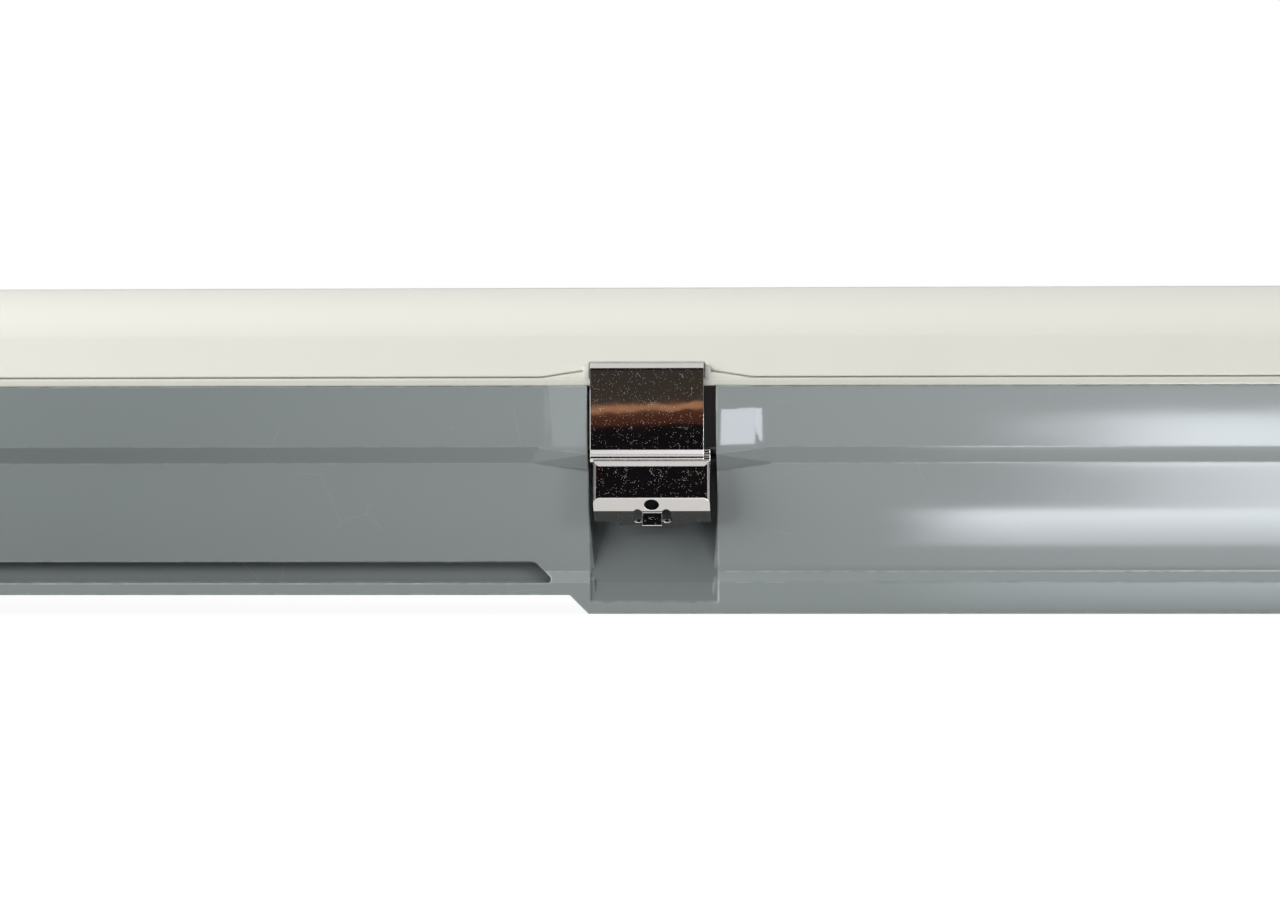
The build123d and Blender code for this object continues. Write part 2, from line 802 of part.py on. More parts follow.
# Light boards, their chips and rivets
board_top = tray_top + board_thickness
for number, board_x in enumerate(board_xs, 1):
    with BuildPart() as board:
        with BuildSketch(Plane.XY.offset(tray_top)):
            with Locations((board_x, 0)):
                RectangleRounded(board_length, board_width, 1.0)
            with Locations(*rivet_places[2 * number - 2:2 * number]):
                Circle(rivet_radius + rivet_gap, mode=Mode.SUBTRACT)
        extrude(amount=board_thickness)
    save(board.part, f"led_board_{number}")

with BuildPart() as led_chips:
    with BuildSketch(Plane.XY.offset(board_top)):
        for board_x in board_xs:
            with Locations((board_x, 0)):
                with GridLocations(board_length / chips_per_board, 1.0, chips_per_board, 1):
                    Rectangle(3.5, 2.8)
    extrude(amount=0.7)
save(led_chips.part, "led_chips")

with BuildPart() as board_rivets:
    with BuildSketch(Plane.XY.offset(tray_z)):
        with Locations(*rivet_places):
            Circle(rivet_radius)
    extrude(amount=tray_sheet + board_thickness)
    with BuildSketch(Plane.XY.offset(board_top)):
        with Locations(*rivet_places):
            Circle(2.8)
    extrude(amount=0.8)
    with BuildSketch(Plane.XY.offset(tray_z)):
        with Locations(*rivet_places):
            Circle(2.3)
    extrude(amount=-0.9)
save(board_rivets.part, "board_rivets")

# Driver under the tray, hung on its end feet
driver_top = tray_z - 1.6
driver_wire_z = driver_top - 0.5 * driver_height
driver_wire_y = 6.0
driver_end = 0.5 * driver_length
hole_depth = 4.0
with BuildPart() as led_driver:
    with BuildSketch(Plane.XY.offset(driver_top - driver_height)):
        RectangleRounded(driver_length, driver_width, 2.0)
    extrude(amount=driver_height)
    with BuildSketch(Plane.XY.offset(driver_top - 2.4)):
        with Locations((-driver_end - 6.0, 0), (driver_end + 6.0, 0)):
            RectangleRounded(20.0, 26.0, 3.0)
    extrude(amount=tray_z - driver_top + 2.4)
    with BuildSketch(Plane.XY.offset(tray_z)):
        with Locations((-driver_screw_x, 0), (driver_screw_x, 0)):
            Circle(driver_screw_radius + fit_gap)
    extrude(amount=-6.0, mode=Mode.SUBTRACT)
    for end in (-1, 1):
        with BuildSketch(Plane.YZ.offset(end * driver_end)):
            with Locations((driver_wire_y, driver_wire_z), (-driver_wire_y, driver_wire_z)):
                Circle(wire_radius + 0.3)
        extrude(amount=-end * hole_depth, mode=Mode.SUBTRACT)
save(led_driver.part, "led_driver")

with BuildPart() as driver_screws:
    with BuildSketch(Plane.XY.offset(driver_top - 2.4)):
        with Locations((-driver_screw_x, 0), (driver_screw_x, 0)):
            Circle(driver_screw_radius)
    extrude(amount=tray_top - driver_top + 2.4)
    with BuildSketch(Plane.XY.offset(driver_top - 2.4)):
        with Locations((-driver_screw_x, 0), (driver_screw_x, 0)):
            Circle(3.2)
    extrude(amount=-2.2)
save(driver_screws.part, "driver_screws")

# Terminal block under the tray, with wire holes on both faces and screw wells below
terminal_half = 20.0
terminal_height = 17.0
terminal_wire_z = tray_z - 9.0
pole_pitch = 10.0
with BuildPart() as terminal_block:
    with BuildSketch(Plane.XY.offset(tray_z)):
        with Locations((terminal_x, 0)):
            RectangleRounded(2 * terminal_half, 3.2 * pole_pitch, 1.5)
    extrude(amount=-terminal_height)
    for end in (-1, 1):
        with BuildSketch(Plane.YZ.offset(terminal_x + end * terminal_half)):
            with Locations(*[(pole * pole_pitch, terminal_wire_z) for pole in (-1, 0, 1)]):
                Circle(wire_radius + 0.8)
        extrude(amount=-end * hole_depth, mode=Mode.SUBTRACT)
    with BuildSketch(Plane.XY.offset(tray_z - terminal_height)):
        with Locations((terminal_x, 0)):
            with GridLocations(20.0, pole_pitch, 2, 3):
                Circle(2.4)
    extrude(amount=3.0, mode=Mode.SUBTRACT)
save(terminal_block.part, "terminal_block")

# Earth tag and its screw on the tray
tag_end = earth_place[0] + 14.0
tag_wire_z = tray_z - 1.6
with BuildPart() as earth_tag:
    with BuildSketch(Plane.XY.offset(tray_z)):
        with Locations(earth_place):
            Circle(4.2)
        with Locations((earth_place[0] + 4.0, earth_place[1])):
            Rectangle(8.0, 4.0)
        with Locations(earth_place):
            Circle(earth_radius + fit_gap, mode=Mode.SUBTRACT)
    extrude(amount=-0.8)
    with BuildSketch(Plane.YZ.offset(earth_place[0] + 7.0)):
        with Locations((earth_place[1], tag_wire_z)):
            Circle(1.6)
    extrude(amount=tag_end - earth_place[0] - 7.0)
save(earth_tag.part, "earth_tag")

with BuildPart() as earth_screw:
    with BuildSketch(Plane.XY.offset(tray_z - 0.8)):
        with Locations(earth_place):
            Circle(earth_radius)
    extrude(amount=tray_sheet + 2.8)
    with BuildSketch(Plane.XY.offset(tray_z - 0.8)):
        with Locations(earth_place):
            Circle(3.8)
    extrude(amount=-2.6)
save(earth_screw.part, "earth_screw")

# Wires inside the fixture
supply_start = terminal_x - terminal_half + hole_depth
supply_end = driver_end - hole_depth
feed_start = hole_depth - driver_end
wire_routes = {
    "live_wire": (wire_radius, [
        (supply_start, -pole_pitch, terminal_wire_z),
        (supply_start - 25.0, -pole_pitch, terminal_wire_z),
        (0.5 * (supply_start + supply_end), -pole_pitch - 1.0, driver_wire_z - 2.0),
        (supply_end + 25.0, -driver_wire_y, driver_wire_z),
        (supply_end, -driver_wire_y, driver_wire_z),
    ]),
    "neutral_wire": (wire_radius, [
        (supply_start, 0.0, terminal_wire_z),
        (supply_start - 25.0, 0.0, terminal_wire_z),
        (0.5 * (supply_start + supply_end), 4.0, driver_wire_z - 2.0),
        (supply_end + 25.0, driver_wire_y, driver_wire_z),
        (supply_end, driver_wire_y, driver_wire_z),
    ]),
    "earth_wire": (wire_radius, [
        (supply_start, pole_pitch, terminal_wire_z),
        (supply_start - 12.0, pole_pitch, terminal_wire_z),
        (0.5 * (supply_start + tag_end), 0.5 * (pole_pitch + earth_place[1]), terminal_wire_z + 3.0),
        (tag_end + 7.0, earth_place[1], tag_wire_z),
        (tag_end, earth_place[1], tag_wire_z),
    ]),
}
for name, hand in (("led_wire_positive", 1), ("led_wire_negative", -1)):
    wire_routes[name] = (led_wire_radius, [
        (feed_start, hand * driver_wire_y, driver_wire_z),
        (feed_start - 16.0, hand * driver_wire_y, driver_wire_z),
        (led_wire_x + 10.0, hand * (led_wire_y - 4.0), tray_z - 9.0),
        (led_wire_x, hand * led_wire_y, tray_z),
        (led_wire_x, hand * (led_wire_y - 5.0), board_top + 4.0),
        (led_wire_x, hand * 11.0, board_top),
    ])
for name, (radius, route) in wire_routes.items():
    first = Vector(*route[1]) - Vector(*route[0])
    last = Vector(*route[-1]) - Vector(*route[-2])
    if name.startswith("led_wire"):
        last = Vector(0, 0, -1)
    with BuildPart() as wire:
        with BuildLine() as run:
            Spline(*route, tangents=(first.normalized(), last.normalized()))
        with BuildSketch(Plane(origin=route[0], z_dir=first)):
            Circle(radius)
        sweep()
    save(wire.part, name)

# Cable gland in one end
gland_start = boss_face + 1.5
thread_radius = entry_radius
neck_radius = 9.4
seal_radius = 7.6
cable_radius = 4.5
with BuildPart() as gland_washer:
    with BuildSketch(Plane.YZ.offset(boss_face)):
        with Locations((0, entry_z)):
            Circle(13.6)
            Circle(thread_radius + fit_gap, mode=Mode.SUBTRACT)
    extrude(amount=gland_start - boss_face)
save(gland_washer.part, "gland_washer")

with BuildPart() as gland_body:
    with BuildSketch(Plane.YZ.offset(boss_back - 6.0)):
        with Locations((0, entry_z)):
            Circle(thread_radius)
    extrude(amount=gland_start - boss_back + 6.0)
    with BuildSketch(Plane.YZ.offset(gland_start)):
        with Locations((0, entry_z)):
            RegularPolygon(14.6, 6)
    extrude(amount=5.0)
    with BuildSketch(Plane.YZ.offset(gland_start + 5.0)):
        with Locations((0, entry_z)):
            Circle(neck_radius)
    extrude(amount=12.0)
    with BuildSketch(Plane.YZ.offset(boss_back - 6.0)):
        with Locations((0, entry_z)):
            Circle(cable_radius + 1.0)
    extrude(amount=40.0, mode=Mode.SUBTRACT)
    with BuildSketch(Plane.YZ.offset(gland_start + 6.0)):
        with Locations((0, entry_z)):
            Circle(seal_radius)
    extrude(amount=20.0, mode=Mode.SUBTRACT)
save(gland_body.part, "gland_body")

with BuildPart() as gland_locknut:
    with BuildSketch(Plane.YZ.offset(boss_back)):
        with Locations((0, entry_z)):
            RegularPolygon(14.6, 6)
            Circle(thread_radius + fit_gap, mode=Mode.SUBTRACT)
    extrude(amount=-4.5)
save(gland_locknut.part, "gland_locknut")

seal_end = gland_start + 17.5
with BuildPart() as gland_seal:
    with BuildSketch(Plane.YZ.offset(gland_start + 6.0)):
        with Locations((0, entry_z)):
            Circle(seal_radius)
            Circle(cable_radius, mode=Mode.SUBTRACT)
    extrude(amount=seal_end - gland_start - 6.0)
save(gland_seal.part, "gland_seal")

with BuildPart() as gland_nut:
    with BuildSketch(Plane.YZ.offset(gland_start + 5.6)):
        with Locations((0, entry_z)):
            RegularPolygon(13.4, 6)
    extrude(amount=9.0)
    with BuildSketch(Plane.YZ.offset(gland_start + 14.6)):
        with Locations((0, entry_z)):
            Circle(11.2)
    extrude(amount=6.4, taper=14)
    with BuildSketch(Plane.YZ.offset(gland_start + 5.6)):
        with Locations((0, entry_z)):
            Circle(neck_radius + fit_gap)
    extrude(amount=seal_end - gland_start - 5.6, mode=Mode.SUBTRACT)
    with BuildSketch(Plane.YZ.offset(gland_start)):
        with Locations((0, entry_z)):
            Circle(cable_radius + 1.3)
    extrude(amount=40.0, mode=Mode.SUBTRACT)
save(gland_nut.part, "gland_nut")

# Blanking plug and its sealing ring in the other end
with BuildPart() as blanking_ring:
    with BuildSketch(Plane.YZ.offset(-boss_face)):
        with Locations((0, entry_z)):
            Circle(12.6)
            Circle(thread_radius + fit_gap, mode=Mode.SUBTRACT)
    extrude(amount=-1.5)
save(blanking_ring.part, "blanking_ring")

with BuildPart() as blanking_plug:
    with BuildSketch(Plane.YZ.offset(-boss_back)):
        with Locations((0, entry_z)):
            Circle(thread_radius)
    extrude(amount=-(gland_start - boss_back))
    with BuildSketch(Plane.YZ.offset(-gland_start)):
        with Locations((0, entry_z)):
            Circle(14.0)
    extrude(amount=-4.5)
    with BuildSketch(Plane.YZ.offset(-gland_start - 4.5)):
        with Locations((0, entry_z)):
            SlotOverall(20.0, 2.6)
    extrude(amount=2.4, mode=Mode.SUBTRACT)
save(blanking_plug.part, "blanking_plug")
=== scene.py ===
import json
import math

import bpy
from mathutils import Matrix, Vector


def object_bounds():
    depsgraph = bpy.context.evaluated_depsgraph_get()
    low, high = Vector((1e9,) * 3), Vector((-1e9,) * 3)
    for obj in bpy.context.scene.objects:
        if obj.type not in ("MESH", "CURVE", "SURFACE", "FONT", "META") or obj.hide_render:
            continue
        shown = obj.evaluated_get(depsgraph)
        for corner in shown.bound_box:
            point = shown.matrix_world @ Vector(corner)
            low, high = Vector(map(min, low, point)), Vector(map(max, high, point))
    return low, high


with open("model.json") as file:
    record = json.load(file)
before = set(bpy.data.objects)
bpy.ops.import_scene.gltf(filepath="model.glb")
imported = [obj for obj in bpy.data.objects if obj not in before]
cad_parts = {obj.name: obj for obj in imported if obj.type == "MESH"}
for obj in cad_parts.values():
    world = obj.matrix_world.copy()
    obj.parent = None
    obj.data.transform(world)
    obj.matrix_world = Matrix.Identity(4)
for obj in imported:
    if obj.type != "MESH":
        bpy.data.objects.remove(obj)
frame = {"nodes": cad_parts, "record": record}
cad_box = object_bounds()
nodes = frame["nodes"]
scene = bpy.context.scene
scene.view_settings.view_transform = "Standard"

MM = 0.001

# Camera: level with the fixture, nearly square on to one latch, long lens
AIM = Vector((-163.0 * MM, -62.0 * MM, 43.5 * MM))
DISTANCE = 1.6
YAW = math.radians(3.2)
ROLL = math.radians(-0.09)
FRAME_WIDTH = 337.3 * MM
SENSOR_WIDTH = 36.0

lens = bpy.data.cameras.new("camera")
lens.sensor_fit = "HORIZONTAL"
lens.sensor_width = SENSOR_WIDTH
lens.lens = SENSOR_WIDTH * DISTANCE / FRAME_WIDTH
lens.clip_end = 60.0
camera = bpy.data.objects.new("camera", lens)
scene.collection.objects.link(camera)
upright = Matrix.Rotation(math.pi / 2, 4, "X")
turn = Matrix.Rotation(YAW, 4, "Z") @ upright @ Matrix.Rotation(ROLL, 4, "Z")
stand = AIM + DISTANCE * Vector((math.sin(YAW), -math.cos(YAW), 0.0))
camera.matrix_world = Matrix.Translation(stand) @ turn
scene.camera = camera


def linear(code):
    """Linear colour from an sRGB hex value."""
    parts = [int(code[i:i + 2], 16) / 255.0 for i in (1, 3, 5)]
    return [c / 12.92 if c <= 0.04045 else ((c + 0.055) / 1.055) ** 2.4 for c in parts] + [1.0]


def add(tree, kind, settings=None, links=None, **fields):
    """Adds one node: fields are its own settings, settings its socket values, links its inputs."""
    made = tree.nodes.new(kind)
    for name, value in fields.items():
        setattr(made, name, value)
    for name, value in (settings or {}).items():
        made.inputs[name].default_value = value
    for name, source in (links or {}).items():
        tree.links.new(source, made.inputs[name])
    return made


def start(name):
    """A new material with only its shader and output, and the piece's own coordinates in metres."""
    made = bpy.data.materials.new(name)
    made.use_nodes = True
    tree = made.node_tree
    tree.nodes.clear()
    shader = add(tree, "ShaderNodeBsdfPrincipled")
    add(tree, "ShaderNodeOutputMaterial", links={"Surface": shader.outputs["BSDF"]})
    place = add(tree, "ShaderNodeTexCoord").outputs["Object"]
    return made, tree, shader, place


def rounded_edges(tree, radius):
    """Softened normal at edges, and a mask that is white along edges and black on flats."""
    soft = add(tree, "ShaderNodeBevel", {"Radius": radius}, samples=6)
    true = add(tree, "ShaderNodeNewGeometry").outputs["Normal"]
    dot = add(tree, "ShaderNodeVectorMath", links={0: soft.outputs["Normal"], 1: true},
              operation="DOT_PRODUCT")
    mask = add(tree, "ShaderNodeMapRange", {"From Min": 0.999, "From Max": 0.955},
               {"Value": dot.outputs["Value"]})
    return soft.outputs["Normal"], mask.outputs["Result"]


def lint(tree, place, speck_gap, speck_size, hair_gap, hair_width):
    """Mask of settled lint: round specks, and short straight hairs that lie every way. Real ones are finer
    on the moulded plastic, and are drawn as coarse as they need to show."""
    dots = add(tree, "ShaderNodeTexVoronoi", {"Scale": 1 / speck_gap, "Randomness": 1.0}, {"Vector": place})
    near = speck_size / speck_gap
    specks = add(tree, "ShaderNodeMapRange", {"From Min": near, "From Max": 0.6 * near},
                 {"Value": dots.outputs["Distance"]})
    cells = add(tree, "ShaderNodeTexVoronoi", {"Scale": 1 / hair_gap, "Randomness": 1.0}, {"Vector": place},
                feature="DISTANCE_TO_EDGE")
    line = hair_width / hair_gap
    hairs = add(tree, "ShaderNodeMapRange", {"From Min": line, "From Max": 0.4 * line},
                {"Value": cells.outputs["Distance"]})
    gaps = add(tree, "ShaderNodeTexNoise", {"Scale": 1.1 / hair_gap, "Detail": 1.0}, {"Vector": place})
    kept = add(tree, "ShaderNodeMapRange", {"From Min": 0.6, "From Max": 0.66},
               {"Value": gaps.outputs["Fac"]})
    parts = add(tree, "ShaderNodeMath", links={0: hairs.outputs["Result"], 1: kept.outputs["Result"]},
                operation="MULTIPLY")
    drift = add(tree, "ShaderNodeTexNoise", {"Scale": 0.16 / speck_gap, "Detail": 2.0}, {"Vector": place})
    thick = add(tree, "ShaderNodeMapRange", {"From Min": 0.38, "From Max": 0.54},
                {"Value": drift.outputs["Fac"]})
    swept = add(tree, "ShaderNodeMath", links={0: specks.outputs["Result"], 1: thick.outputs["Result"]},
                operation="MULTIPLY")
    return add(tree, "ShaderNodeMath", links={0: swept.outputs[0], 1: parts.outputs[0]},
               operation="MAXIMUM").outputs[0]


# Latch pockets, where shade is painted on the housing: spacing, half width, lower edge, and the height where
# the painted shade is thickest
LATCH_PITCH = 320 * MM
POCKET_HALF = 16.9 * MM
POCKET_FOOT = 2.9 * MM
POCKET_DEEP = 26 * MM
# Share of painted shade at the pocket's lower edge and where it is thickest
SHADE_THIN = 0.28
SHADE_THICK = 0.55
# Over how much one finish fades into the next
FADE = 0.2 * MM


def pocket_shade(tree, length, height):
    """Mask of painted shade in the latch pockets, from a place along the fixture and a height."""
    shifted = add(tree, "ShaderNodeMath", {1: 0.5 * LATCH_PITCH}, {0: length}, operation="ADD")
    off = add(tree, "ShaderNodeMath", {1: 0.5 * LATCH_PITCH}, {0: shifted.outputs[0]},
              operation="PINGPONG")
    inside = add(tree, "ShaderNodeMapRange", {"From Min": POCKET_HALF, "From Max": POCKET_HALF - FADE},
                 {"Value": off.outputs[0]})
    above = add(tree, "ShaderNodeMapRange",
                {"From Min": POCKET_FOOT - FADE / 2, "From Max": POCKET_FOOT + FADE / 2}, {"Value": height})
    pocket = add(tree, "ShaderNodeMath", links={0: inside.outputs["Result"], 1: above.outputs["Result"]},
                 operation="MULTIPLY")
    shade_depth = add(tree, "ShaderNodeMapRange", {"From Min": POCKET_FOOT, "From Max": POCKET_DEEP,
                                             "To Min": SHADE_THIN, "To Max": SHADE_THICK}, {"Value": height})
    return add(tree, "ShaderNodeMath", links={0: pocket.outputs[0], 1: shade_depth.outputs["Result"]},
               operation="MULTIPLY").outputs[0]


# Moulded plastic, by size: clouds of tone, spots along the pale edges, patches of gloss, grain and sink
# waves
TONE_CLOUD = 70 * MM
EDGE_SPOT = 4 * MM
GLOSS_PATCH = 18 * MM
MOULD_GRAIN = 1.2 * MM
SINK_WAVE = 28 * MM
# Reach of the painted shade in nooks, and radius of a moulded edge
NOOK = 18 * MM
MOULDED_EDGE = 0.8 * MM
# Where the cover's lip ends, and roughness of the housing's plinth
LIP_TOP = 62.9 * MM
PLINTH_ROUGHNESS = 0.36
POLYCARBONATE_IOR = 1.58


def moulded_polycarbonate(name, flat, deep, worn, rough, edge_wear_and_highlight, lint_share, lip=None,
                          matt_below=None, painted_shade=None):
    """Injection-moulded polycarbonate: glossy and dense in colour, a faintly uneven skin that breaks up
    highlights, paler edges that are partly wear and partly a painted highlight, a little lint, and painted
    shade in pockets and nooks. The mould's real grain is finer, and is drawn as coarse as it needs to show."""
    made, tree, shader, place = start(name)
    cloud = add(tree, "ShaderNodeTexNoise", {"Scale": 1 / TONE_CLOUD, "Detail": 3.0}, {"Vector": place})
    tone = add(tree, "ShaderNodeMix", {6: linear(deep), 7: linear(flat)}, {0: cloud.outputs["Fac"]},
               data_type="RGBA").outputs[2]
    split = add(tree, "ShaderNodeSeparateXYZ", links={"Vector": place}).outputs
    length, height = split["X"], split["Z"]
    if lip:
        thick = add(tree, "ShaderNodeMapRange", {"From Min": LIP_TOP, "From Max": LIP_TOP - 2 * FADE},
                    {"Value": height})
        tone = add(tree, "ShaderNodeMix", {7: linear(lip)}, {0: thick.outputs["Result"], 6: tone},
                   data_type="RGBA").outputs[2]
    # Pale edges: partly wear and partly a painted highlight that stands in for light caught by rounded
    # edges; the worn colour also tints the lint
    normal, edges = rounded_edges(tree, MOULDED_EDGE)
    edge_spotting = add(tree, "ShaderNodeTexNoise", {"Scale": 1 / EDGE_SPOT, "Detail": 4.0}, {"Vector": place})
    spots = add(tree, "ShaderNodeMapRange", {"From Min": 0.3, "From Max": 0.7, "To Max": edge_wear_and_highlight},
                {"Value": edge_spotting.outputs["Fac"]})
    worn_and_lit_edges = add(tree, "ShaderNodeMath", links={0: edges, 1: spots.outputs["Result"]},
                     operation="MULTIPLY")
    tone = add(tree, "ShaderNodeMix", {7: linear(worn)}, {0: worn_and_lit_edges.outputs[0], 6: tone},
               data_type="RGBA").outputs[2]
    dust = lint(tree, place, speck_gap=9 * MM, speck_size=0.20 * MM, hair_gap=22 * MM, hair_width=0.05 * MM)
    faint = add(tree, "ShaderNodeMath", {1: lint_share}, {0: dust}, operation="MULTIPLY")
    tone = add(tree, "ShaderNodeMix", {7: linear(worn)}, {0: faint.outputs[0], 6: tone},
               data_type="RGBA").outputs[2]
    if painted_shade:
        # Painted shade: the latch pockets are darkened towards the shade colour, more so higher up, under
        # the lever
        shade_in_pocket = pocket_shade(tree, length, height)
        tone = add(tree, "ShaderNodeMix", {7: linear(painted_shade)}, {0: shade_in_pocket, 6: tone},
                   data_type="RGBA").outputs[2]
        # Painted shade in nooks: darker where the housing's own surfaces lie close, as in the gap beside the
        # lever
        nook = add(tree, "ShaderNodeAmbientOcclusion", {"Distance": NOOK}, samples=6, only_local=True)
        nook_shade = add(tree, "ShaderNodeMapRange", {"From Min": 0.6, "From Max": 0.15, "To Max": 0.9},
                   {"Value": nook.outputs["AO"]})
        tone = add(tree, "ShaderNodeMix", {7: linear(painted_shade)}, {0: nook_shade.outputs["Result"], 6: tone},
                   data_type="RGBA").outputs[2]
    tree.links.new(tone, shader.inputs["Base Color"])
    sheen = add(tree, "ShaderNodeTexNoise", {"Scale": 1 / GLOSS_PATCH, "Detail": 5.0}, {"Vector": place})
    gloss = add(tree, "ShaderNodeMapRange", {"To Min": rough * 0.75, "To Max": rough * 1.25},
                {"Value": sheen.outputs["Fac"]}).outputs["Result"]
    if matt_below:
        foot = add(tree, "ShaderNodeMapRange", {"From Min": matt_below, "From Max": matt_below - FADE,
                                                "To Max": PLINTH_ROUGHNESS}, {"Value": height})
        gloss = add(tree, "ShaderNodeMath", links={0: gloss, 1: foot.outputs["Result"]},
                    operation="MAXIMUM").outputs[0]
    tree.links.new(gloss, shader.inputs["Roughness"])
    skin = add(tree, "ShaderNodeTexNoise", {"Scale": 1 / MOULD_GRAIN, "Detail": 2.0}, {"Vector": place})
    fine = add(tree, "ShaderNodeBump", {"Strength": 0.05, "Distance": 0.05 * MM},
               {"Height": skin.outputs["Fac"], "Normal": normal})
    wave = add(tree, "ShaderNodeTexNoise", {"Scale": 1 / SINK_WAVE, "Detail": 2.0}, {"Vector": place})
    sink = add(tree, "ShaderNodeBump", {"Strength": 0.5, "Distance": 0.08 * MM},
               {"Height": wave.outputs["Fac"], "Normal": fine.outputs["Normal"]})
    tree.links.new(sink.outputs["Normal"], shader.inputs["Normal"])
    shader.inputs["IOR"].default_value = POLYCARBONATE_IOR
    return made


# Stainless sheet, by size: handling marks and waves of the sheet; and radius of a cut or small edge
HANDLING_MARK = 14 * MM
SHEET_WAVE = 11 * MM
SMALL_EDGE = 0.3 * MM
# Colours of bare edges, painted shade on undersides and settled lint, and the share of steel that lint hides
BARE_EDGE = "#E6E3E0"
SHADED_UNDERSIDE = "#7A7774"
PALE_LINT = "#D9D7D2"
LINT_COVER = 0.75
# How steeply a face looks down (-1 is straight down) where the painted shade begins, and where it is full
UNDERSIDE_BEGINS = -0.77
UNDERSIDE_FULL = -0.84


def rolled_stainless(name, bright, dull, rough):
    """Bright rolled stainless sheet: a mirror that is faintly wavy, with handling marks, painted shade on
    faces that look down, and lint."""
    made, tree, shader, place = start(name)
    marks = add(tree, "ShaderNodeTexNoise", {"Scale": 1 / HANDLING_MARK, "Detail": 5.0, "Roughness": 0.6},
                {"Vector": place})
    tone = add(tree, "ShaderNodeMix", {6: linear(dull), 7: linear(bright)}, {0: marks.outputs["Fac"]},
               data_type="RGBA").outputs[2]
    normal, edges = rounded_edges(tree, SMALL_EDGE)
    tone = add(tree, "ShaderNodeMix", {7: linear(BARE_EDGE)}, {0: edges, 6: tone},
               data_type="RGBA").outputs[2]
    # Painted shade: faces that look steeply down get a darker, duller colour, standing in for the dark
    # things they would mirror
    facing = add(tree, "ShaderNodeTexCoord").outputs["Normal"]
    upward = add(tree, "ShaderNodeSeparateXYZ", links={"Vector": facing}).outputs["Z"]
    under = add(tree, "ShaderNodeMapRange", {"From Min": UNDERSIDE_BEGINS, "From Max": UNDERSIDE_FULL},
                {"Value": upward})
    tone = add(tree, "ShaderNodeMix", {7: linear(SHADED_UNDERSIDE)}, {0: under.outputs["Result"], 6: tone},
               data_type="RGBA").outputs[2]
    dust = lint(tree, place, speck_gap=0.5 * MM, speck_size=0.08 * MM, hair_gap=1.9 * MM,
                hair_width=0.017 * MM)
    thick = add(tree, "ShaderNodeMath", {1: LINT_COVER}, {0: dust}, operation="MULTIPLY").outputs[0]
    tone = add(tree, "ShaderNodeMix", {7: linear(PALE_LINT)}, {0: thick, 6: tone},
               data_type="RGBA").outputs[2]
    tree.links.new(tone, shader.inputs["Base Color"])
    bare = add(tree, "ShaderNodeMath", {0: 1.0}, {1: thick}, operation="SUBTRACT")
    tree.links.new(bare.outputs[0], shader.inputs["Metallic"])
    smear = add(tree, "ShaderNodeMapRange", {"From Min": 0.35, "From Max": 0.75, "To Min": rough * 0.7,
                                             "To Max": rough * 1.6}, {"Value": marks.outputs["Fac"]})
    dull_spots = add(tree, "ShaderNodeMath", {1: 0.5}, {0: dust, 2: smear.outputs["Result"]},
                     operation="MULTIPLY_ADD")
    tree.links.new(dull_spots.outputs[0], shader.inputs["Roughness"])
    wave = add(tree, "ShaderNodeTexNoise", {"Scale": 1 / SHEET_WAVE, "Detail": 2.0}, {"Vector": place})
    sheet = add(tree, "ShaderNodeBump", {"Strength": 1.0, "Distance": 0.012 * MM},
                {"Height": wave.outputs["Fac"], "Normal": normal})
    tree.links.new(sheet.outputs["Normal"], shader.inputs["Normal"])
    return made


# Small pieces: size of their clouds of tone, share of wear on their edges, and a typical plastic's IOR
SMALL_CLOUD = 12 * MM
EDGE_WEAR = 0.25
PLASTIC_IOR = 1.5


def plain_finish(name, flat, deep, rough, metallic=0.0, grain=1.5, depth=0.03, worn="#FFFFFF"):
    """Small moulded, painted or plated piece: two close tones, fine grain and rubbed edges. The grain's size
    and depth are in mm. Most real grain is finer, and is drawn as coarse as it needs to show."""
    made, tree, shader, place = start(name)
    cloud = add(tree, "ShaderNodeTexNoise", {"Scale": 1 / SMALL_CLOUD, "Detail": 5.0}, {"Vector": place})
    tone = add(tree, "ShaderNodeMix", {6: linear(deep), 7: linear(flat)}, {0: cloud.outputs["Fac"]},
               data_type="RGBA").outputs[2]
    normal, edges = rounded_edges(tree, SMALL_EDGE)
    faint = add(tree, "ShaderNodeMath", {1: EDGE_WEAR}, {0: edges}, operation="MULTIPLY")
    tone = add(tree, "ShaderNodeMix", {7: linear(worn)}, {0: faint.outputs[0], 6: tone},
               data_type="RGBA").outputs[2]
    tree.links.new(tone, shader.inputs["Base Color"])
    skin = add(tree, "ShaderNodeTexNoise", {"Scale": 1 / (grain * MM), "Detail": 3.0}, {"Vector": place})
    gloss = add(tree, "ShaderNodeMapRange", {"To Min": rough * 0.85, "To Max": rough * 1.15},
                {"Value": skin.outputs["Fac"]})
    tree.links.new(gloss.outputs["Result"], shader.inputs["Roughness"])
    relief = add(tree, "ShaderNodeBump", {"Strength": 0.2, "Distance": depth * MM},
                 {"Height": skin.outputs["Fac"], "Normal": normal})
    tree.links.new(relief.outputs["Normal"], shader.inputs["Normal"])
    shader.inputs["Metallic"].default_value = metallic
    if metallic == 0.0:
        shader.inputs["IOR"].default_value = PLASTIC_IOR
    return made


